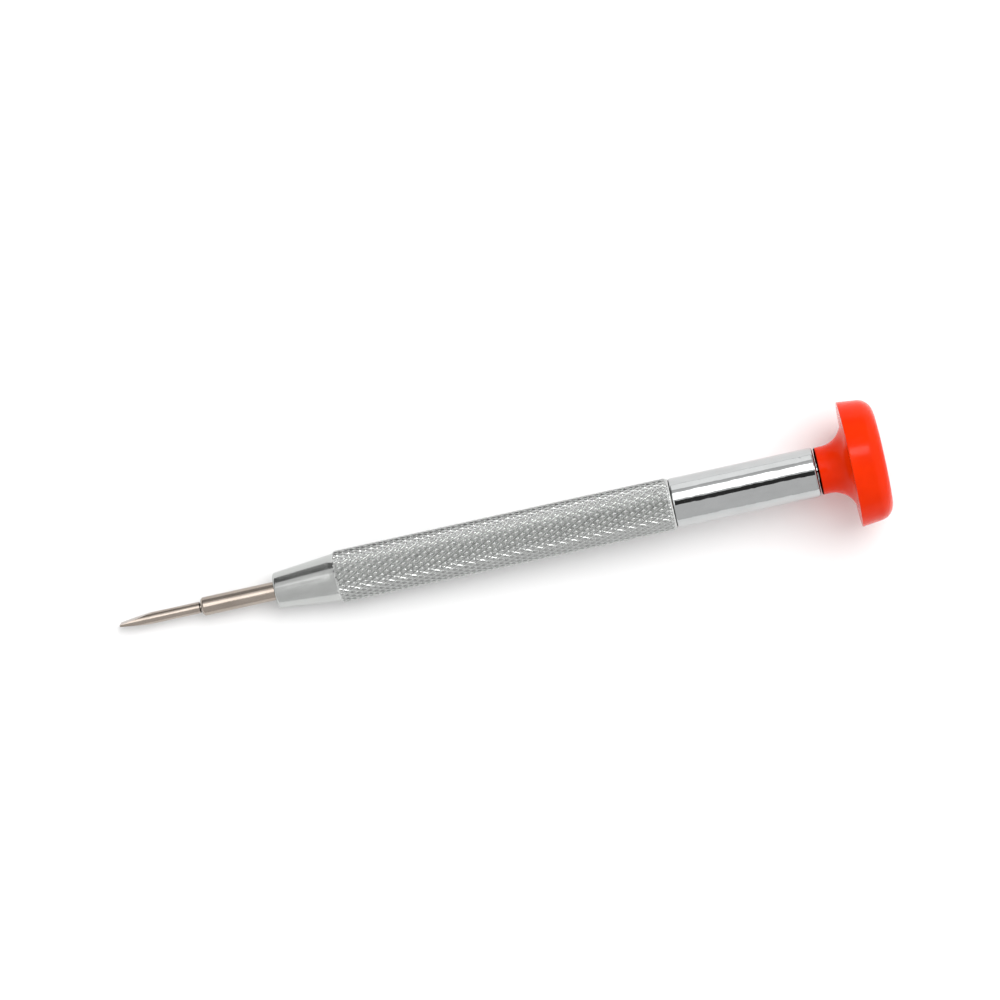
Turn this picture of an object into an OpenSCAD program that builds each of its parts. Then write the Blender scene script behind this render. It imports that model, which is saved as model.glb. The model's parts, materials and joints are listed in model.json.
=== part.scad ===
// Watchmaker's screwdriver with a swivelling thumb head.
//
// Every piece is drawn along the tool's own axis. X runs from the blade's edge
// at x = 0 back to the end of the head, and a turned piece is a revolved
// outline of [radius, position] points. lying() then lays the tool down as it
// rests on a table, on the front shoulder of its grip and the rim of its head.
// The origin is the middle of the resting tool's box, on the table, with +Z up.
// All sizes are in millimetres.

/* [Blade] */
// Diameter of the blade, and so the width of its edge
blade_d = 1.6; // [1.2:0.1:1.8]
// Length of blade in front of its sleeve
blade_out = 11.7; // [8:0.1:14]
// Length of the blade's thinner tail inside its sleeve
blade_in = 9.5; // [6:0.5:10]
// Diameter of the tail that is pressed into the sleeve
tail_d = 1.2; // [0.8:0.1:1.2]
// Width of the groove left between the blade's shoulder and its sleeve
tail_gap = 0.2; // [0:0.05:0.4]
// Length of the two flats that taper to the edge
grind_l = 4.7; // [3:0.1:6]
// Thickness of the edge
edge_t = 0.26; // [0.2:0.02:0.6]
// Turn of the flats about the tool's axis
blade_roll = 14; // [0:1:90]

/* [Blade sleeve] */
// Diameter of the sleeve that carries the blade
sleeve_d = 2.6; // [2.4:0.1:2.8]
// Length of sleeve in front of the nose
sleeve_out = 10.55; // [8:0.05:12]
// Length of sleeve inside the barrel
sleeve_in = 11; // [10.5:0.5:13]
// Chamfer on both ends of the sleeve
sleeve_chamfer = 0.3; // [0.1:0.05:0.4]
// Depth of the flat under the set screw
flat_depth = 0.35; // [0.1:0.05:0.4]
// Distance of the flat behind the nose's front
flat_start = 1.8; // [1:0.1:3]

/* [Set screw] */
// Diameter of the set screw
screw_d = 1.6; // [1.4:0.1:1.8]
// Length of the set screw
screw_l = 1.8; // [1.4:0.1:1.9]
// Distance of the set screw behind the nose's front
screw_back = 5; // [4:0.5:6]
// Width of the slot in the set screw
slot_w = 0.3; // [0.2:0.05:0.4]
// Depth of the slot in the set screw
slot_depth = 0.55; // [0.3:0.05:0.7]

/* [Barrel] */
// Length of the smooth tapered nose
nose_l = 8.75; // [8:0.05:12]
// Diameter of the nose at its front
nose_d = 5; // [4.8:0.1:5.6]
// Diameter of the nose where the grip begins
nose_back_d = 6.7; // [6.2:0.1:6.9]
// Radius of the nose's front edge
nose_edge_r = 0.4; // [0.2:0.05:0.6]
// Length of the knurled grip
grip_l = 47.5; // [40:0.1:55]
// Diameter over the knurling
grip_d = 7.3; // [7:0.1:8]
// Chamfer at the back of the grip
grip_chamfer = 0.2; // [0.1:0.05:0.4]
// Length of the spigot that the rear tube is pressed on
spigot_l = 6.5; // [5:0.5:7]

/* [Rear tube] */
// Length of the polished rear tube
tube_l = 20.2; // [19:0.1:24]
// Outside diameter of the rear tube
tube_d = 6.9; // [6.8:0.05:7]
// Bore of the rear tube
tube_bore_d = 5.7; // [5.4:0.1:5.8]
// Radius of the tube's outer edges
tube_edge_r = 0.3; // [0.1:0.05:0.4]
// Thickness of the lip that closes the tube's rear
lip_t = 0.7; // [0.5:0.1:1]
// Diameter of the hole in the lip
lip_hole_d = 3.6; // [3:0.1:4]

/* [Swivel bearing] */
// Diameter of the spindle that the head turns on
spindle_d = 2.5; // [2:0.1:2.8]
// Diameter of the collar on the spindle's inner end
collar_d = 4.6; // [4:0.1:5]
// Length of the collar
collar_l = 2; // [1.5:0.1:2.5]
// Length of the spindle inside the head
spindle_in = 6; // [5:0.5:7]
// Diameter of the thrust ball
ball_d = 2.5; // [2:0.1:2.8]
// Diameter of the hard seat behind the ball
seat_d = 4; // [3.4:0.1:4.4]
// Length of the seat
seat_l = 3; // [2:0.5:4]
// Diameter of the mouth of the cones that hold the ball
cone_d = 2.2; // [2:0.1:2.6]
// Thickness of the washer between collar and bush
washer_t = 0.3; // [0.2:0.05:0.5]

/* [Head] */
// Length of the whole head
head_l = 9.1; // [8.5:0.05:10]
// Gap between the rear tube and the head
head_gap = 0.2; // [0.1:0.05:0.5]
// Diameter of the neck
neck_d = 6.6; // [6:0.1:6.9]
// Radius of the neck's front edge
neck_edge_r = 0.25; // [0.1:0.05:0.4]
// Radius of the hollow curve from neck to flange
neck_fillet_r = 3.35; // [2.5:0.05:3.5]
// Diameter of the flange at its rim
flange_d = 17.5; // [16:0.1:19]
// Thickness of the flange
flange_l = 4.7; // [4.5:0.1:5]
// Inward lean of the flange's wall
flange_draft = 6.2; // [0:0.1:10]
// Radius of the corner between the flange's wall and the end face
flange_corner_r = 2.2; // [1:0.1:2.5]

/* [Fits] */
// Radial clearance between the sleeve and its bore
sleeve_fit = 0.03; // [0.02:0.01:0.08]
// Radial clearance around the set screw
screw_fit = 0.03; // [0.02:0.01:0.08]
// Radial clearance between the spindle and its bush
spindle_fit = 0.05; // [0.02:0.01:0.1]
// Small play between pieces that turn against each other
play = 0.05; // [0.02:0.01:0.08]

/* [Hidden] */
$fn = 96;

// Cutters run this far past what they cut
past = 1;
// Small chamfer at the mouth of a bore
mouth_chamfer = 0.15;
// Finest chamfer, that only breaks an edge
edge_chamfer = 0.03;

// Places along the axis, from the blade's edge
x_sleeve = blade_out;
x_blade_back = x_sleeve + blade_in;
x_nose = x_sleeve + sleeve_out;
x_sleeve_back = x_nose + sleeve_in;
x_screw = x_nose + screw_back;
x_grip = x_nose + nose_l;
x_tube = x_grip + grip_l;
x_spigot_back = x_tube + spigot_l;
x_tube_back = x_tube + tube_l;
x_lip = x_tube_back - lip_t;
x_head = x_tube_back + head_gap;
x_end = x_head + head_l;
x_flange = x_end - flange_l;

// The ball stands between two cones of 90 degrees, one in the seat and one in the collar
x_ball = x_spigot_back - cone_d / 2 + ball_d / 2 * sqrt(2) + play / 2;
x_collar = 2 * x_ball - x_spigot_back;
x_collar_back = x_collar + collar_l;
x_washer = x_collar_back + play;
x_bush = x_washer + washer_t;

// The set screw runs from the sleeve's flat outwards, below the axis
screw_foot = sleeve_d / 2 - flat_depth + play / 2;

// Centre of the flange's rounded corner, as [radius, distance behind the flange's front]
corner_x = flange_l - flange_corner_r;
corner_radius_at = flange_d / 2 - corner_x * tan(flange_draft) - flange_corner_r / cos(flange_draft);

// The tool rests on the grip's front shoulder and on the flange's rim
tilt = atan((flange_d - grip_d) / 2 / (x_flange - x_grip));
rest_z = flange_d / 2 * cos(tilt) - x_flange * sin(tilt);
front_x = -blade_d / 2 * sin(tilt);
back_x = (x_end - flange_corner_r) * cos(tilt) + corner_radius_at * sin(tilt) + flange_corner_r;
rest_x = -(front_x + back_x) / 2;

// Lays the tool down on the table, tip towards -X
module lying() {
    translate([rest_x, 0, rest_z])
        rotate([0, -tilt, 0])
            children();
}

// Revolves an outline of [radius, position] about the tool's axis
module turned() {
    rotate([0, 90, 0])
        rotate_extrude()
            children();
}

// A straight bar from x0 to x1
module bar(x0, x1, d) {
    translate([x0, 0, 0])
        rotate([0, 90, 0])
            cylinder(h = x1 - x0, d = d);
}

// A bar with 45 degree chamfers c0 and c1 at its ends
module chamfered_bar(x0, x1, d, c0, c1) {
    turned()
        polygon([
            [0, x0],
            [d / 2 - c0, x0],
            [d / 2, x0 + c0],
            [d / 2, x1 - c1],
            [d / 2 - c1, x1],
            [0, x1]
        ]);
}

// A cone of 90 degrees that is d wide at x0 and closes towards the given direction
module cone_cutter(x0, d, direction) {
    turned()
        polygon([
            [0, x0 - direction * past],
            [d / 2, x0 - direction * past],
            [d / 2, x0],
            [0, x0 + direction * d / 2]
        ]);
}

// Outline of a wall from x0 to x1 with its two outer corners rounded
module rounded_outline(x0, x1, d, r0, r1) {
    union() {
        polygon([
            [0, x0],
            [d / 2 - r0, x0],
            [d / 2 - r0, x0 + r0],
            [d / 2, x0 + r0],
            [d / 2, x1 - r1],
            [d / 2 - r1, x1 - r1],
            [d / 2 - r1, x1],
            [0, x1]
        ]);
        translate([d / 2 - r0, x0 + r0]) circle(r = r0);
        translate([d / 2 - r1, x1 - r1]) circle(r = r1);
    }
}

// Hardened round blade, ground on two sides to a straight edge
module blade() {
    edge_half = edge_t / 2;
    slope = (blade_d / 2 - edge_half) / grind_l;
    past_half = edge_half + slope * (grind_l + past);
    color("#a89c90")
        lying()
            rotate([blade_roll, 0, 0])
                intersection() {
                    union() {
                        chamfered_bar(0, x_sleeve - tail_gap, blade_d, edge_chamfer, edge_chamfer);
                        chamfered_bar(x_sleeve - past, x_blade_back, tail_d, 0, mouth_chamfer);
                    }
                    linear_extrude(height = 2 * blade_d, center = true)
                        polygon([
                            [0, -edge_half],
                            [grind_l + past, -past_half],
                            [x_blade_back + past, -past_half],
                            [x_blade_back + past, past_half],
                            [grind_l + past, past_half],
                            [0, edge_half]
                        ]);
                }
}

// Round sleeve around the blade, with a flat below for the set screw
module blade_sleeve() {
    color("#a89c90")
        lying()
            difference() {
                chamfered_bar(x_sleeve, x_sleeve_back, sleeve_d, sleeve_chamfer, sleeve_chamfer);
                bar(x_sleeve - past, x_blade_back, tail_d);
                cone_cutter(x_sleeve, blade_d, 1);
                translate([x_nose + flat_start, -sleeve_d, -sleeve_d])
                    cube([sleeve_in, 2 * sleeve_d, sleeve_d / 2 + flat_depth]);
            }
}

// Slotted grub screw below the nose
module set_screw() {
    screw_end = screw_foot + screw_l;
    color("#55565a")
        lying()
            translate([x_screw, 0, 0])
                mirror([0, 0, 1])
                    difference() {
                        translate([0, 0, screw_foot])
                            cylinder(h = screw_l, d = screw_d);
                        translate([-slot_w / 2, -screw_d, screw_end - slot_depth])
                            cube([slot_w, 2 * screw_d, slot_depth + past]);
                    }
}

// Turned body: tapered nose, grip and the spigot for the rear tube
module barrel() {
    nose_r = nose_d / 2;
    color("#b4b6b8")
        lying()
            difference() {
                union() {
                    turned()
                        union() {
                            polygon([
                                [0, x_nose],
                                [nose_r - nose_edge_r, x_nose],
                                [nose_r - nose_edge_r, x_nose + nose_edge_r],
                                [nose_r, x_nose + nose_edge_r],
                                [nose_back_d / 2, x_grip],
                                [0, x_grip]
                            ]);
                            translate([nose_r - nose_edge_r, x_nose + nose_edge_r])
                                circle(r = nose_edge_r);
                        }
                    chamfered_bar(x_grip, x_tube, grip_d, 0, grip_chamfer);
                    chamfered_bar(x_tube - past, x_spigot_back, tube_bore_d, 0, sleeve_chamfer);
                }
                bar(x_nose - past, x_sleeve_back, sleeve_d + 2 * sleeve_fit);
                cone_cutter(x_nose, sleeve_d + 2 * (sleeve_fit + mouth_chamfer), 1);
                bar(x_spigot_back - seat_l, x_spigot_back + past, seat_d);
                translate([x_screw, 0, -grip_d])
                    cylinder(h = grip_d, d = screw_d + 2 * screw_fit);
            }
}

// Polished tube pressed on the spigot, closed by a lip around the spindle
module rear_tube() {
    color("#d9dadc")
        lying()
            difference() {
                turned()
                    rounded_outline(x_tube, x_tube_back, tube_d, tube_edge_r, tube_edge_r);
                bar(x_tube - past, x_lip, tube_bore_d);
                bar(x_lip - past, x_tube_back + past, lip_hole_d);
            }
}

// Hard seat pressed into the barrel's rear, with a cone for the ball
module ball_seat() {
    color("#77787c")
        lying()
            difference() {
                bar(x_spigot_back - seat_l, x_spigot_back, seat_d);
                cone_cutter(x_spigot_back, cone_d, -1);
            }
}

// Ball that carries the push of the finger on the head
module thrust_ball() {
    color("#c8c9cc")
        lying()
            translate([x_ball, 0, 0])
                sphere(d = ball_d);
}

// Spindle pressed into the head, with a collar that keeps it in the tube
module head_spindle() {
    color("#9a9ca0")
        lying()
            difference() {
                union() {
                    bar(x_collar, x_collar_back, collar_d);
                    chamfered_bar(x_collar, x_head + spindle_in, spindle_d, 0, mouth_chamfer);
                }
                cone_cutter(x_collar, cone_d, 1);
            }
}

// Washer that the collar would draw against the bush
module retaining_washer() {
    color("#8b8d91")
        lying()
            difference() {
                bar(x_washer, x_bush, collar_d);
                bar(x_washer - past, x_bush + past, spindle_d + 4 * spindle_fit);
            }
}

// Plain bush pressed into the rear tube
module pivot_bush() {
    color("#b8923e")
        lying()
            difference() {
                bar(x_bush, x_lip, tube_bore_d);
                bar(x_bush - past, x_lip + past, spindle_d + 2 * spindle_fit);
            }
}

// Moulded head: short neck, hollow curve and a dished flange for the finger
module swivel_head() {
    neck_r = neck_d / 2;
    color("#f23c08")
        lying()
            difference() {
                turned()
                    union() {
                        difference() {
                            union() {
                                rounded_outline(x_head, x_end - flange_corner_r, neck_d, neck_edge_r, neck_edge_r);
                                translate([0, x_flange - neck_fillet_r])
                                    square([neck_r + neck_fillet_r, neck_fillet_r]);
                            }
                            translate([neck_r + neck_fillet_r, x_flange - neck_fillet_r])
                                circle(r = neck_fillet_r);
                        }
                        flange_outline();
                    }
                bar(x_head - past, x_head + spindle_in, spindle_d);
            }
}

// Outline of the flange, from its flat front to its rounded back corner
module flange_outline() {
    union() {
        polygon([
            [0, x_flange],
            [flange_d / 2, x_flange],
            [
                corner_radius_at + flange_corner_r * cos(flange_draft),
                x_flange + corner_x + flange_corner_r * sin(flange_draft)
            ],
            [corner_radius_at, x_flange + corner_x],
            [corner_radius_at, x_end],
            [0, x_end]
        ]);
        translate([corner_radius_at, x_flange + corner_x])
            circle(r = flange_corner_r);
    }
}

blade();
blade_sleeve();
set_screw();
barrel();
rear_tube();
ball_seat();
thrust_ball();
head_spindle();
retaining_washer();
pivot_bush();
swivel_head();
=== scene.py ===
"""Looks of a watchmaker's screwdriver that lies on a pale table.

Every piece is modelled in the tool's own axes, in millimetres: X runs from the
blade's edge to the end of the head, and Z points up from the tool's axis. The
TOOL matrix lays a piece down where the frame has it. A turned piece is an
outline of (station, radius) points that is revolved about X.
"""
import json
import math

import bmesh
import bpy
from mathutils import Matrix, Vector


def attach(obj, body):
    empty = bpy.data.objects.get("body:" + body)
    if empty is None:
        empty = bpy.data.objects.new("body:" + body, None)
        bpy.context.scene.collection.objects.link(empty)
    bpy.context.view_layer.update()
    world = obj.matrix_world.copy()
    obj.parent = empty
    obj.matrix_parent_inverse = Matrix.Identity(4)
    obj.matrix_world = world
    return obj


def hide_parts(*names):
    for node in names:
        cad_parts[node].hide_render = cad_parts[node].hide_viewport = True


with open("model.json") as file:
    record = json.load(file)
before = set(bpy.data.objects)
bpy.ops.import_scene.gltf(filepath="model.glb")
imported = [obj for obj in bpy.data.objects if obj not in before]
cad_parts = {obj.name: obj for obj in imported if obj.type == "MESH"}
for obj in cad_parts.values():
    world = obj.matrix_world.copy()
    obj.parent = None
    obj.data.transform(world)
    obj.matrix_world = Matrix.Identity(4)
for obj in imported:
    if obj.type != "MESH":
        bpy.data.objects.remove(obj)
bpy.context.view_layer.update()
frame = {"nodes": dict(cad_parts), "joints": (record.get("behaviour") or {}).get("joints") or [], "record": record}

# ---------------------------------------------------------------- the frame

MM = 0.001
mounts = {m["name"]: m for m in frame["record"]["mounts"]}
joints = {j["name"]: j for j in frame["joints"]}

along = Vector(joints["head_swivel"]["axis"]).normalized()
side = Vector((0, 1, 0))
above = along.cross(side)
tip = Vector(mounts["blade_edge"]["pos_m"])
TOOL = Matrix((along, side, above)).transposed().to_4x4()
TOOL.translation = tip


def to_tool(point):
    """A point of the row frame in the tool's own axes, in millimetres."""
    return (TOOL.inverted() @ Vector(point)) / MM


def reach(node):
    """Front station, back station and outer radius of a CAD node."""
    points = [to_tool(v.co) for v in frame["nodes"][node].data.vertices]
    stations = [p.x for p in points]
    return min(stations), max(stations), max(math.hypot(p.y, p.z) for p in points)


BLADE_BACK, BLADE_R = reach("blade")[1:]
SLEEVE_FRONT, SLEEVE_BACK, SLEEVE_R = reach("blade_sleeve")
NOSE_FRONT, SPIGOT_BACK, GRIP_R = reach("barrel")
TUBE_FRONT, TUBE_BACK, TUBE_R = reach("rear_tube")
SEAT_FRONT, _, SEAT_R = reach("ball_seat")
BUSH_BACK, BUSH_R = reach("pivot_bush")[1:]
HEAD_FRONT, HEAD_BACK, HEAD_R = reach("swivel_head")
SPINDLE_BACK = reach("head_spindle")[1]
grip_middle = to_tool(mounts["grip"]["pos_m"]).x
grip_length = mounts["grip"]["dims"]["length_mm"]
GRIP_FRONT = grip_middle - grip_length / 2
GRIP_BACK = grip_middle + grip_length / 2
# The set screw stands upright, across the tool's axis
screw_front, screw_back, _ = reach("set_screw")
screw_heights = [to_tool(v.co).z for v in frame["nodes"]["set_screw"].data.vertices]
SCREW_X = (screw_front + screw_back) / 2
SCREW_R = (screw_back - screw_front) / 2
SCREW_TOP = max(screw_heights)
SCREW_FOOT = min(screw_heights)

# ------------------------------------------------------------------- camera

CAMERA_DISTANCE = 500
CAMERA_LENS = 130.3
# Lean of the line of sight from straight down, towards the front and the blade's end
CAMERA_LEAN = (2, 0.6)
# The camera looks at this place beside the tool, as (station, distance to the side)
CAMERA_TARGET = (55.35, 5.58)
# Angle at which the tool points up to the right
TOOL_ANGLE = 12.45


def make_camera():
    """A camera above the tool, turned about its own line of sight."""
    data = bpy.data.cameras.new("camera")
    data.lens = CAMERA_LENS
    data.clip_start = 0.01
    data.clip_end = 20
    camera = bpy.data.objects.new("camera", data)
    bpy.context.scene.collection.objects.link(camera)
    front, left = (math.tan(math.radians(angle)) for angle in CAMERA_LEAN)
    back = Vector((-left, -front, 1)).normalized()
    level = (along - along.dot(back) * back).normalized()
    across = back.cross(level)
    turn = math.radians(TOOL_ANGLE)
    right = math.cos(turn) * level - math.sin(turn) * across
    up = math.sin(turn) * level + math.cos(turn) * across
    pose = Matrix((right, up, back)).transposed().to_4x4()
    target = TOOL @ (Vector((CAMERA_TARGET[0], CAMERA_TARGET[1], 0)) * MM)
    pose.translation = target + back * CAMERA_DISTANCE * MM
    camera.matrix_world = pose
    bpy.context.scene.camera = camera


# ----------------------------------------------------------- modelling tools


def arc(station, radius, size, start, end, steps=8):
    """Points of a round stretch, with angles from the tool's axis in degrees."""
    angles = [math.radians(start + (end - start) * i / steps) for i in range(steps + 1)]
    return [(station + size * math.cos(a), radius + size * math.sin(a)) for a in angles]


def grid_mesh(name, rings, closed=False):
    """A mesh through rings with equal counts of points, in millimetres.

    A closed mesh joins its last ring to its first. Another one has flat ends.
    """
    count = len(rings[0])
    mesh = bpy.data.meshes.new(name)
    points = [Vector(p) * MM for ring in rings for p in ring]
    rows = range(len(rings) if closed else len(rings) - 1)
    faces = []
    for i in rows:
        a = i * count
        b = (i + 1) % len(rings) * count
        for j in range(count):
            k = (j + 1) % count
            faces.append((a + j, a + k, b + k, b + j))
    if not closed:
        faces.append(tuple(reversed(range(count))))
        faces.append(tuple(range((len(rings) - 1) * count, len(rings) * count)))
    mesh.from_pydata(points, [], faces)
    return mesh


def circle(station, radius, count):
    """A ring of points about the tool's axis."""
    angles = [2 * math.pi * i / count for i in range(count)]
    return [(station, radius * math.cos(a), radius * math.sin(a)) for a in angles]


def held(outline, margin=0.04, long=0.5):
    """The outline with extra points close to both ends of each stretch over long.

    They keep the smooth shading of a rounded edge off the flat stretch beside it.
    """
    points = [outline[0]]
    for (x0, r0), (x1, r1) in zip(outline, outline[1:]):
        length = math.hypot(x1 - x0, r1 - r0)
        if length > long:
            share = margin / length
            for part in (share, 1 - share):
                points.append((x0 + (x1 - x0) * part, r0 + (r1 - r0) * part))
        points.append((x1, r1))
    return points


def turned_mesh(name, outline, closed=False, count=192):
    """A revolved outline of (station, radius) points, with flat ends unless it is closed."""
    return grid_mesh(name, [circle(x, r, count) for x, r in held(outline)], closed)


def face_outwards(mesh):
    """Gives every face the same, outward side."""
    work = bmesh.new()
    work.from_mesh(mesh)
    bmesh.ops.recalc_face_normals(work, faces=work.faces)
    work.to_mesh(mesh)
    work.free()


def cut(piece, cutters):
    """Cuts the shapes of closed meshes, in the tool's own axes, out of a piece."""
    for mesh in cutters:
        face_outwards(mesh)
        mesh.transform(TOOL)
        cutter = bpy.data.objects.new("cutter", mesh)
        bpy.context.scene.collection.objects.link(cutter)
        modifier = piece.modifiers.new("cut", "BOOLEAN")
        modifier.operation = "DIFFERENCE"
        modifier.solver = "EXACT"
        modifier.object = cutter
        result = bpy.data.meshes.new_from_object(
            piece.evaluated_get(bpy.context.evaluated_depsgraph_get())
        )
        piece.modifiers.clear()
        piece.data = result
        bpy.data.objects.remove(cutter)


def box_mesh(low, high):
    """A box between two corners, in millimetres."""
    (x0, y0, z0), (x1, y1, z1) = low, high
    rings = [[(x, y0, z0), (x, y1, z0), (x, y1, z1), (x, y0, z1)] for x in (x0, x1)]
    return grid_mesh("box", rings)


def add_piece(node, mesh, body, material, cutters=(), sharp=35):
    """Puts a finished piece in the place of its CAD node.

    Edges that turn by more than sharp degrees stay sharp.
    """
    face_outwards(mesh)
    mesh.transform(TOOL)
    piece = bpy.data.objects.new(node + "_visual", mesh)
    bpy.context.scene.collection.objects.link(piece)
    cut(piece, cutters)
    piece.data.shade_smooth()
    piece.data.set_sharp_from_angle(angle=math.radians(sharp))
    piece.data.materials.clear()
    piece.data.materials.append(material)
    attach(piece, body)
    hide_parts(node)
    return piece


# ---------------------------------------------------------------- materials


def add(tree, kind, settings=(), inputs=()):
    """A new node. Its inputs are values or other nodes' outputs."""
    made = tree.nodes.new(kind)
    for name, value in dict(settings).items():
        setattr(made, name, value)
    for name, value in dict(inputs).items():
        if isinstance(value, bpy.types.NodeSocket):
            tree.links.new(value, made.inputs[name])
        else:
            made.inputs[name].default_value = value
    return made


def start_material(name, values):
    """A material with its shader's sockets set, its tree and its shader."""
    material = bpy.data.materials.new(name)
    material.use_nodes = True
    shader = material.node_tree.nodes["Principled BSDF"]
    for socket, value in values.items():
        shader.inputs[socket].default_value = value
    return material, material.node_tree, shader


def tool_place(tree):
    """The place on the piece in the tool's own axes, in metres."""
    place = add(tree, "ShaderNodeTexCoord").outputs["Object"]
    turn = TOOL.inverted().to_euler()
    shift = TOOL.inverted().translation
    mapping = add(
        tree, "ShaderNodeMapping", {}, {"Vector": place, "Rotation": turn, "Location": shift}
    )
    return mapping.outputs["Vector"]


def noise(tree, stretch, detail=3.0, roughness=0.5):
    """Noise with the given cycles per millimetre along the tool's own axes."""
    scale = tuple(s / MM for s in stretch)
    mapping = add(tree, "ShaderNodeMapping", {}, {"Vector": tool_place(tree), "Scale": scale})
    texture = add(
        tree, "ShaderNodeTexNoise", {},
        {"Vector": mapping.outputs["Vector"], "Scale": 1.0, "Detail": detail, "Roughness": roughness},
    )
    return texture.outputs["Fac"]


def remap(tree, value, low, high, start=0.3, end=0.7):
    """Value, from start to end, spread over low to high."""
    made = add(
        tree, "ShaderNodeMapRange", {},
        {"Value": value, "From Min": start, "From Max": end, "To Min": low, "To Max": high},
    )
    return made.outputs["Result"]


def blend(tree, share, first, second, kind="MIX"):
    """A colour mixed from two colours, which are plain values or other nodes' outputs."""
    # A Mix node has several sockets of each name, so they are taken by number
    share_in, first_in, second_in, colour_out = 0, 6, 7, 2
    first, second = (
        colour if isinstance(colour, bpy.types.NodeSocket) else (*colour, 1)
        for colour in (first, second)
    )
    made = add(
        tree, "ShaderNodeMix", {"data_type": "RGBA", "blend_type": kind},
        {share_in: share, first_in: first, second_in: second},
    )
    return made.outputs[colour_out]


def joint_shade(tree, joints, half=0.1, darkest=0.25):
    """1 away from the given stations and less close to them: painted shade in the joints between parts.

    The painted shade is darkest within half, in millimetres, and gone at twice that.
    """
    split = add(tree, "ShaderNodeSeparateXYZ", {}, {"Vector": tool_place(tree)})
    shares = []
    for station in joints:
        away = add(
            tree, "ShaderNodeMath", {"operation": "SUBTRACT"},
            {0: split.outputs["X"], 1: station * MM},
        )
        gap = add(tree, "ShaderNodeMath", {"operation": "ABSOLUTE"}, {0: away.outputs[0]})
        shares.append(remap(tree, gap.outputs[0], darkest, 1, half * MM, half * 2 * MM))
    brightness_share = shares[0]
    for share in shares[1:]:
        both = add(tree, "ShaderNodeMath", {"operation": "MULTIPLY"}, {0: brightness_share, 1: share})
        brightness_share = both.outputs[0]
    return brightness_share


def tinted(tree, colour, brightness_share):
    """The colour, darker by the given share, which is painted joint shade or a patchy tone."""
    return blend(tree, 1.0, colour, brightness_share, "MULTIPLY")


def bump(tree, height, depth, below=None):
    """A bump of the given depth in millimetres, over another bump if there is one."""
    inputs = {"Height": height, "Distance": depth * MM, "Strength": 1.0}
    if below:
        inputs["Normal"] = below
    return add(tree, "ShaderNodeBump", {}, inputs).outputs["Normal"]


def turned_steel(name, bright, dark, roughness, joints):
    """Fine turned steel: rings from the tool, a few long scratches and slight staining."""
    material, tree, shader = start_material(name, {"Metallic": 1.0})
    rings = noise(tree, (14, 0.15, 0.15), 2)
    scratches = noise(tree, (0.25, 9, 9), 3)
    stain = noise(tree, (0.35, 0.9, 0.9), 4)
    metal = blend(tree, remap(tree, stain, 0, 1), dark, bright)
    # Painted shade on the steel next to the joints at the given stations
    joint_shade_share = joint_shade(tree, joints, 0.03, 0.12)
    tree.links.new(tinted(tree, metal, joint_shade_share), shader.inputs["Base Color"])
    worn = remap(tree, scratches, roughness - 0.05, roughness + 0.06)
    tree.links.new(worn, shader.inputs["Roughness"])
    lines = bump(tree, rings, 0.0012)
    tree.links.new(bump(tree, scratches, 0.0015, lines), shader.inputs["Normal"])
    return material


def satin_nickel():
    """Nickel plate with a little haze. The knurl's lands are given a darker colour than its grooves, as painted
    shade for the dark surroundings that they reflect.
    """
    material, tree, shader = start_material("satin_nickel", {"Metallic": 1.0})
    split = add(tree, "ShaderNodeSeparateXYZ", {}, {"Vector": tool_place(tree)})
    flat = add(tree, "ShaderNodeCombineXYZ", {}, {"Y": split.outputs["Y"], "Z": split.outputs["Z"]})
    radius = add(tree, "ShaderNodeVectorMath", {"operation": "LENGTH"}, {0: flat.outputs[0]})
    groove_r = GRIP_R - KNURL_DEPTH
    land_r = GRIP_R - 0.3 * KNURL_DEPTH
    land_shade_share = remap(tree, radius.outputs["Value"], 0, 1, groove_r * MM, land_r * MM)
    on_nose = add(
        tree, "ShaderNodeMath", {"operation": "LESS_THAN"},
        {0: split.outputs["X"], 1: GRIP_FRONT * MM},
    )
    rings = noise(tree, (10, 0.15, 0.15), 2)
    haze = noise(tree, (0.5, 1.1, 1.1), 4)
    grain = noise(tree, (7, 7, 7), 2)
    # Painted shade: the lands get a darker colour than the grooves, for the dark surroundings that their flats
    # reflect
    knurl = blend(tree, land_shade_share, (0.61, 0.62, 0.61), (0.48, 0.49, 0.48))
    metal = blend(tree, on_nose.outputs[0], knurl, (0.51, 0.52, 0.51))
    worn = tinted(tree, metal, remap(tree, haze, 0.92, 1))
    # Painted shade at the nose's mouth, where the sleeve goes in
    joint_shade_share = joint_shade(tree, [NOSE_FRONT], 0.05)
    tree.links.new(tinted(tree, worn, joint_shade_share), shader.inputs["Base Color"])
    tree.links.new(remap(tree, haze, 0.14, 0.22), shader.inputs["Roughness"])
    lines = bump(tree, rings, 0.0008)
    tree.links.new(bump(tree, grain, 0.0012, lines), shader.inputs["Normal"])
    return material


def bright_chrome():
    """Mirror chrome with faint ripples along the tube, hairline scratches and a little haze."""
    material, tree, shader = start_material("bright_chrome", {"Metallic": 1.0})
    ripple = noise(tree, (0.5, 0.55, 0.55), 2)
    hairs = noise(tree, (0.3, 16, 16), 2)
    haze = noise(tree, (0.4, 0.8, 0.8), 4)
    metal = blend(tree, remap(tree, haze, 0, 1), (0.48, 0.49, 0.49), (0.52, 0.53, 0.53))
    # Painted shade at both ends of the tube, in its joints with the grip and the head
    joint_shade_share = joint_shade(tree, [TUBE_FRONT, TUBE_BACK])
    tree.links.new(tinted(tree, metal, joint_shade_share), shader.inputs["Base Color"])
    tree.links.new(remap(tree, haze, 0.03, 0.07), shader.inputs["Roughness"])
    waves = bump(tree, ripple, 0.035)
    tree.links.new(bump(tree, hairs, 0.0003, waves), shader.inputs["Normal"])
    return material


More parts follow.
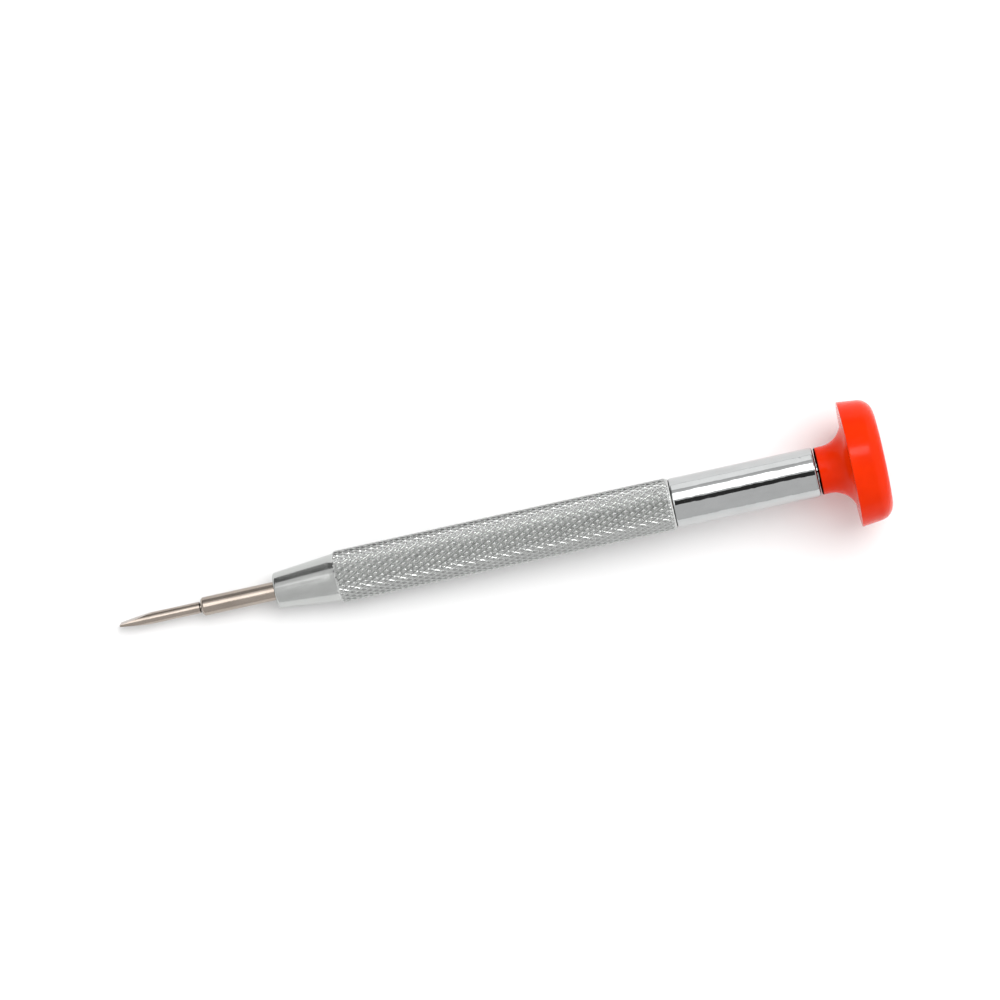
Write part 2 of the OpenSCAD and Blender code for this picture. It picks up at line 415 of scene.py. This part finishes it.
def head_plastic():
    """Glossy moulded plastic: a deep orange-red with a fine skin and small rub marks.

    Only the painted shadow in the joint with the tube, which is black, has no gloss.
    """
    material, tree, shader = start_material(
        "head_plastic",
        {
            "IOR": 1.5,
            "Subsurface Weight": 0.12,
            "Subsurface Radius": (1.0, 0.25, 0.02),
            "Subsurface Scale": 0.6 * MM,
        },
    )
    shade = noise(tree, (0.25, 0.25, 0.25), 3)
    skin = noise(tree, (2.6, 2.6, 2.6), 2)
    rubs = noise(tree, (0.9, 5, 5), 4, 0.65)
    colour = blend(tree, remap(tree, shade, 0, 1), (0.70, 0.022, 0.0002), (0.77, 0.029, 0.0005))
    # Painted shadow, black and without gloss, in the joint with the tube
    joint_shade_share = joint_shade(tree, [HEAD_FRONT], 0.12, 0)
    tree.links.new(tinted(tree, colour, joint_shade_share), shader.inputs["Base Color"])
    tree.links.new(remap(tree, joint_shade_share, 0, 0.08, 0, 1), shader.inputs["Specular IOR Level"])
    tree.links.new(remap(tree, rubs, 0.13, 0.2), shader.inputs["Roughness"])
    tree.links.new(bump(tree, skin, 0.003), shader.inputs["Normal"])
    return material


def inner_metal(name, bright, dark, roughness):
    """Metal of the pieces inside, with a film of oil that thins out in places."""
    material, tree, shader = start_material(name, {"Metallic": 1.0, "Coat Weight": 0.3})
    film = noise(tree, (0.6, 0.6, 0.6), 4)
    marks = noise(tree, (6, 6, 6), 3)
    tree.links.new(blend(tree, remap(tree, film, 0, 1), dark, bright), shader.inputs["Base Color"])
    tree.links.new(remap(tree, film, roughness - 0.06, roughness + 0.08), shader.inputs["Roughness"])
    tree.links.new(bump(tree, marks, 0.0015), shader.inputs["Normal"])
    return material


# ------------------------------------------------------------------- pieces

GRIND_LENGTH = 4.7
EDGE_THICKNESS = 0.26
BLADE_ROLL = 14
TAIL_R = 0.6
TAIL_GAP = 0.2


def blade_section(station, radius, half_flat, count=24):
    """A round section with two flats, as a ring of points with corners at the flats' edges.

    Where half_flat is the radius itself, all but a trace of the flats is gone.
    """
    round_share = 0.9999
    corner = math.asin(min(half_flat / radius, round_share))
    reach_z = radius * math.cos(corner)
    ring = []
    for sign in (1, -1):
        for i in range(count):
            z = sign * reach_z * (1 - 2 * i / count)
            ring.append((station, sign * half_flat, z))
        for i in range(count):
            turn = corner - 2 * corner * i / count
            ring.append((station, sign * radius * math.sin(turn), -sign * radius * math.cos(turn)))
    roll = Matrix.Rotation(math.radians(BLADE_ROLL), 3, "X")
    return [roll @ Vector(p) for p in ring]


def make_blade(material):
    """Round blade with two flats that meet in a straight edge, and its pressed-in tail."""
    half_edge = EDGE_THICKNESS / 2
    slope = (BLADE_R - half_edge) / GRIND_LENGTH
    broken = 0.03
    shoulder = SLEEVE_FRONT - TAIL_GAP
    shoulder_chamfer = 0.08
    tail_chamfer = 0.15
    rings = [blade_section(0, BLADE_R - broken, half_edge - broken)]
    steps = 24
    for i in range(steps + 1):
        x = broken + (GRIND_LENGTH - broken) * i / steps
        rings.append(blade_section(x, BLADE_R, half_edge + slope * x))
    for x, r in (
        (shoulder - shoulder_chamfer, BLADE_R),
        (shoulder, BLADE_R - shoulder_chamfer),
        (shoulder, TAIL_R),
        (BLADE_BACK - tail_chamfer, TAIL_R),
        (BLADE_BACK, TAIL_R - tail_chamfer),
    ):
        rings.append(blade_section(x, r, r))
    return add_piece("blade", grid_mesh("blade", rings), "blade_unit", material, sharp=20)


def make_sleeve(material):
    """Sleeve with eased chamfers, the blade's bore and the set screw's flat."""
    chamfer = 0.3
    ease = 0.05
    outline = [
        (BLADE_BACK, TAIL_R),
        (SLEEVE_FRONT + BLADE_R - TAIL_R, TAIL_R),
        (SLEEVE_FRONT, BLADE_R),
        (SLEEVE_FRONT, SLEEVE_R - chamfer),
        (SLEEVE_FRONT + ease, SLEEVE_R - chamfer + ease * 1.4),
        (SLEEVE_FRONT + chamfer - ease, SLEEVE_R - ease * 0.6),
        (SLEEVE_FRONT + chamfer + ease, SLEEVE_R),
        (SLEEVE_BACK - chamfer, SLEEVE_R),
        (SLEEVE_BACK, SLEEVE_R - chamfer),
    ]
    screw_gap = 0.025
    flat_height = SCREW_TOP + screw_gap
    flat_front = NOSE_FRONT + 1.8
    past = 1
    half_width = 2
    cutter = box_mesh(
        (flat_front, -half_width, -half_width), (SLEEVE_BACK + past, half_width, flat_height)
    )
    return add_piece(
        "blade_sleeve", turned_mesh("blade_sleeve", outline), "blade_unit", material, [cutter]
    )


def screw_ring(height, radius, count=64):
    """A ring of points about the set screw's own axis."""
    return [(SCREW_X + y, z, x) for x, y, z in circle(height, radius, count)]


def make_set_screw(material):
    """Grub screw with chamfered ends and its driving slot."""
    chamfer = 0.12
    slot_w = 0.3
    slot_depth = 0.55
    past = 1
    half_length = 2
    outline = [
        (SCREW_TOP, SCREW_R - chamfer),
        (SCREW_TOP - chamfer, SCREW_R),
        (SCREW_FOOT + chamfer, SCREW_R),
        (SCREW_FOOT, SCREW_R - chamfer),
    ]
    rings = [screw_ring(z, r) for z, r in outline]
    slot = box_mesh(
        (SCREW_X - slot_w / 2, -half_length, SCREW_FOOT - past),
        (SCREW_X + slot_w / 2, half_length, SCREW_FOOT + slot_depth),
    )
    return add_piece("set_screw", grid_mesh("set_screw", rings), "clamp_screw", material, [slot])


NOSE_FRONT_R = 2.5
NOSE_BACK_R = 3.35
NOSE_EDGE_R = 0.4
RUNNING_GAP = 0.03
SLEEVE_BORE_R = SLEEVE_R + RUNNING_GAP
# Knurling: helical grooves that cross in both directions
KNURL_STARTS = 25
# Stretch along the tool over which a groove moves round to the next one's place
KNURL_PITCH = 1.61
KNURL_DEPTH = 0.25
# Share of a land that is flat between its rounded shoulders
KNURL_FLAT = 1 / 6
# Points of the mesh for each groove
KNURL_DETAIL = 12
KNURL_RUN_OUT = 0.3


def knurl_height(phase):
    """Height across one groove and land, 0 in the groove and 1 on the flat of the land."""
    share = abs((phase % 1) * 2 - 1)
    shoulder = min(1, (1 - share) / (1 - KNURL_FLAT))
    return math.sin(shoulder * math.pi / 2)


def knurl_ring(station, end_r):
    """One ring of the knurling, which runs out to the radius end_r at the end of the grip."""
    count = KNURL_STARTS * KNURL_DETAIL
    edge = min(station - GRIP_FRONT, GRIP_BACK - station) / KNURL_RUN_OUT
    edge = max(0, min(1, edge))
    ring = []
    for i in range(count):
        turn = i / KNURL_DETAIL
        step = (station - GRIP_FRONT) / KNURL_PITCH
        height = min(knurl_height(turn + step), knurl_height(turn - step))
        r = GRIP_R - KNURL_DEPTH * (1 - height)
        r = end_r + (r - end_r) * edge
        angle = 2 * math.pi * i / count
        ring.append((station, r * math.cos(angle), r * math.sin(angle)))
    return ring


def make_barrel(material):
    """Tapered nose, diamond-knurled grip and the spigot inside the rear tube, in one piece."""
    count = KNURL_STARTS * KNURL_DETAIL
    mouth_chamfer = 0.15
    nose = [
        (SLEEVE_BACK, SLEEVE_BORE_R),
        (NOSE_FRONT + mouth_chamfer, SLEEVE_BORE_R),
        (NOSE_FRONT, SLEEVE_BORE_R + mouth_chamfer),
        *arc(NOSE_FRONT + NOSE_EDGE_R, NOSE_FRONT_R - NOSE_EDGE_R, NOSE_EDGE_R, 180, 95, 8),
    ]
    steps = 12
    x0, r0 = nose[-1]
    for i in range(1, steps):
        nose.append((x0 + (GRIP_FRONT - x0) * i / steps, r0 + (NOSE_BACK_R - r0) * i / steps))
    # Behind the knurl the grip ends in a chamfer of equal sides, with an eased corner
    back_r = GRIP_R - (TUBE_FRONT - GRIP_BACK)
    ease_x, ease_r = 0.02, 0.05
    spigot_chamfer = 0.3
    back = [
        (TUBE_FRONT - ease_x, back_r - ease_r),
        (TUBE_FRONT, back_r - 2 * ease_r),
        (TUBE_FRONT, BUSH_R),
        (SPIGOT_BACK - spigot_chamfer, BUSH_R),
        (SPIGOT_BACK, BUSH_R - spigot_chamfer),
        (SPIGOT_BACK, SEAT_R),
        (SEAT_FRONT, SEAT_R),
    ]
    row = KNURL_PITCH / KNURL_DETAIL
    rows = int((GRIP_BACK - GRIP_FRONT) / row)
    rings = [circle(x, r, count) for x, r in nose]
    rings += [knurl_ring(GRIP_FRONT + row * i, NOSE_BACK_R) for i in range(rows // 2)]
    rings += [knurl_ring(GRIP_FRONT + row * i, back_r) for i in range(rows // 2, rows + 1)]
    rings += [circle(x, r, count) for x, r in back]
    hole = grid_mesh("hole", [screw_ring(z, SCREW_R + RUNNING_GAP) for z in (0, -2 * GRIP_R)])
    return add_piece("barrel", grid_mesh("barrel", rings), "handle", material, [hole], sharp=60)


def make_rear_tube(material):
    """Polished tube with rounded ends and a lip around the spindle."""
    edge = 0.3
    lip_hole_r = 1.8
    lip_chamfer = 0.1
    outline = [
        (TUBE_FRONT, BUSH_R),
        *arc(TUBE_FRONT + edge, TUBE_R - edge, edge, 180, 90),
        *arc(TUBE_BACK - edge, TUBE_R - edge, edge, 90, 0),
        (TUBE_BACK, lip_hole_r + lip_chamfer),
        (TUBE_BACK - lip_chamfer, lip_hole_r),
        (BUSH_BACK, lip_hole_r),
        (BUSH_BACK, BUSH_R),
    ]
    return add_piece("rear_tube", turned_mesh("rear_tube", outline, True, 256), "handle", material)


NECK_R = 3.3
NECK_EDGE_R = 0.25
NECK_FILLET_R = 3.35
FLANGE_L = 4.7
FLANGE_DRAFT = 6.2
FLANGE_CORNER_R = 2.2
RIM_EDGE_R = 0.12


def make_head(material):
    """Moulded head: neck, hollow curve, and a flange with an eased rim and a wide round corner."""
    flange_front = HEAD_BACK - FLANGE_L
    draft = math.radians(FLANGE_DRAFT)
    corner_x = FLANGE_L - FLANGE_CORNER_R
    corner_r = HEAD_R - corner_x * math.tan(draft) - FLANGE_CORNER_R / math.cos(draft)
    spindle_r = 1.25
    outline = [
        (SPINDLE_BACK, spindle_r),
        (HEAD_FRONT, spindle_r),
        *arc(HEAD_FRONT + NECK_EDGE_R, NECK_R - NECK_EDGE_R, NECK_EDGE_R, 180, 90),
        *arc(flange_front - NECK_FILLET_R, NECK_R + NECK_FILLET_R, NECK_FILLET_R, 270, 360, 24),
        *arc(flange_front + RIM_EDGE_R, HEAD_R - RIM_EDGE_R, RIM_EDGE_R, 180, 90 - FLANGE_DRAFT, 6),
        *arc(flange_front + corner_x, corner_r, FLANGE_CORNER_R, 90 - FLANGE_DRAFT, 0, 20),
    ]
    return add_piece(
        "swivel_head", turned_mesh("swivel_head", outline, count=320), "head", material, sharp=50
    )


# ------------------------------------------------------------ floor and light


def emission(name, strength):
    """A plain white glow for a card."""
    values = {
        "Base Color": (0, 0, 0, 1),
        "Roughness": 1.0,
        "Specular IOR Level": 0,
        "Emission Color": (1, 1, 1, 1),
        "Emission Strength": strength,
    }
    return start_material(name, values)[0]


def add_card(name, strength, ends, sweep, distance=0.8):
    """A curved card, at a distance in metres, that only reflections see.

    Its ends are two angles from straight up towards the head, and its sweep is
    two angles about the tool from straight up towards +Y, all in degrees.
    """
    steps = 12
    mesh = bpy.data.meshes.new(name)
    points = []
    for i in range(steps + 1):
        lean = math.radians(ends[0] + (ends[1] - ends[0]) * i / steps)
        for j in range(steps + 1):
            turn = math.radians(sweep[0] + (sweep[1] - sweep[0]) * j / steps)
            way = (math.sin(lean), math.cos(lean) * math.sin(turn), math.cos(lean) * math.cos(turn))
            points.append(Vector(way) * distance)
    faces = []
    for i in range(steps):
        for j in range(steps):
            a = i * (steps + 1) + j
            faces.append((a, a + 1, a + steps + 2, a + steps + 1))
    mesh.from_pydata(points, [], faces)
    mesh.materials.append(emission(name, strength))
    card = bpy.data.objects.new(name, mesh)
    bpy.context.scene.collection.objects.link(card)
    card.visible_camera = False
    card.visible_diffuse = False
    card.visible_shadow = False


def make_floor():
    """A plain pale table of eight by eight metres."""
    values = {"Base Color": (0.92, 0.92, 0.92, 1), "Roughness": 0.9, "Specular IOR Level": 0.1}
    material = start_material("table", values)[0]
    half_size = 4
    mesh = bpy.data.meshes.new("table")
    corners = [(x * half_size, y * half_size, 0) for x, y in ((-1, -1), (1, -1), (1, 1), (-1, 1))]
    mesh.from_pydata(corners, [], [(0, 1, 2, 3)])
    mesh.materials.append(material)
    floor = bpy.data.objects.new("table", mesh)
    bpy.context.scene.collection.objects.link(floor)


def make_light():
    """Pale surroundings and one large soft lamp, which no reflection shows."""
    world = bpy.data.worlds.new("world")
    world.use_nodes = True
    sky = world.node_tree.nodes["Background"]
    sky.inputs["Color"].default_value = (1, 1, 1, 1)
    sky.inputs["Strength"].default_value = 0.8
    bpy.context.scene.world = world
    lamp = bpy.data.lights.new("lamp", "AREA")
    lamp.shape = "DISK"
    lamp.size = 0.8
    lamp.energy = 6
    key = bpy.data.objects.new("lamp", lamp)
    bpy.context.scene.collection.objects.link(key)
    place = Vector((0.32, 0.28, 0.82))
    key.location = place
    key.rotation_euler = place.to_track_quat("Z", "Y").to_euler()
    key.visible_glossy = False
    bpy.context.scene.view_settings.view_transform = "Standard"
    bpy.context.scene.view_settings.look = "None"


def make_cards():
    """The studio that the polish reflects. Each piece leans differently and sees its own part."""
    # The rear tube has a white streak, a grey and a black line, and a grey front. The grip,
    # which sees dimmer cards beside these, is evenly pale with a dark upper outline.
    add_card("softbox", 3.2, (-4.5, 4), (13, 43))
    add_card("grip_softbox", 1.25, (-19, -4.5), (13, 43))
    add_card("grip_middle", 2.0, (-12, -6), (-17, 13))
    add_card("dark_line", 0.7, (-7, 5), (51, 60))
    add_card("pale_back", 1.4, (-7, 5), (60, 88), 0.82)
    add_card("grip_back", 0.4, (-19, -7), (48, 89), 0.82)
    add_card("dark_middle", 0.04, (-6, 5), (-13, 6))
    add_card("grey_front", 0.78, (-80, 5), (-89, -17))
    # Sleeve and blade have a bright streak, and the nose is pale grey under a dark line
    add_card("left_softbox", 3.2, (-19, -12), (-6, 28), 0.78)
    add_card("left_core", 1.2, (-50, -19), (15, 25), 0.78)
    add_card("left_grey", 0.85, (-50, -19), (-42, 50))
    add_card("left_dark", 0.15, (-80, -19), (48, 89))
    # The flange of the head has one small highlight among dim surroundings
    add_card("head_softbox", 12, (10, 18), (12, 26))
    add_card("head_dark", 0.5, (5, 30), (-89, 88), 0.85)
    add_card("pale_right", 1.3, (30, 85), (-89, 88), 0.85)


# -------------------------------------------------------------------- scene

make_camera()
make_floor()
make_light()
make_cards()

# Brighter and darker colour of the warm grey steel
warm = (0.41, 0.355, 0.31), (0.35, 0.30, 0.26)
nose_mouth = NOSE_FRONT - 0.05
make_blade(turned_steel("blade_steel", *warm, 0.17, [SLEEVE_FRONT - TAIL_GAP]))
make_sleeve(turned_steel("sleeve_steel", *warm, 0.16, [SLEEVE_FRONT, nose_mouth]))
make_barrel(satin_nickel())
make_rear_tube(bright_chrome())
make_head(head_plastic())
dark_steel = inner_metal("dark_steel", (0.10, 0.10, 0.11), (0.05, 0.05, 0.055), 0.35)
make_set_screw(dark_steel)

# The pieces inside keep their CAD shapes and only get a material
inner = {
    "ball_seat": dark_steel,
    "thrust_ball": inner_metal("bearing_steel", (0.62, 0.62, 0.63), (0.55, 0.55, 0.56), 0.15),
    "pivot_bush": inner_metal("bush_brass", (0.72, 0.50, 0.20), (0.60, 0.40, 0.15), 0.28),
}
inner["head_spindle"] = inner["thrust_ball"]
inner["retaining_washer"] = inner["thrust_ball"]
for node, material in inner.items():
    frame["nodes"][node].data.materials.clear()
    frame["nodes"][node].data.materials.append(material)
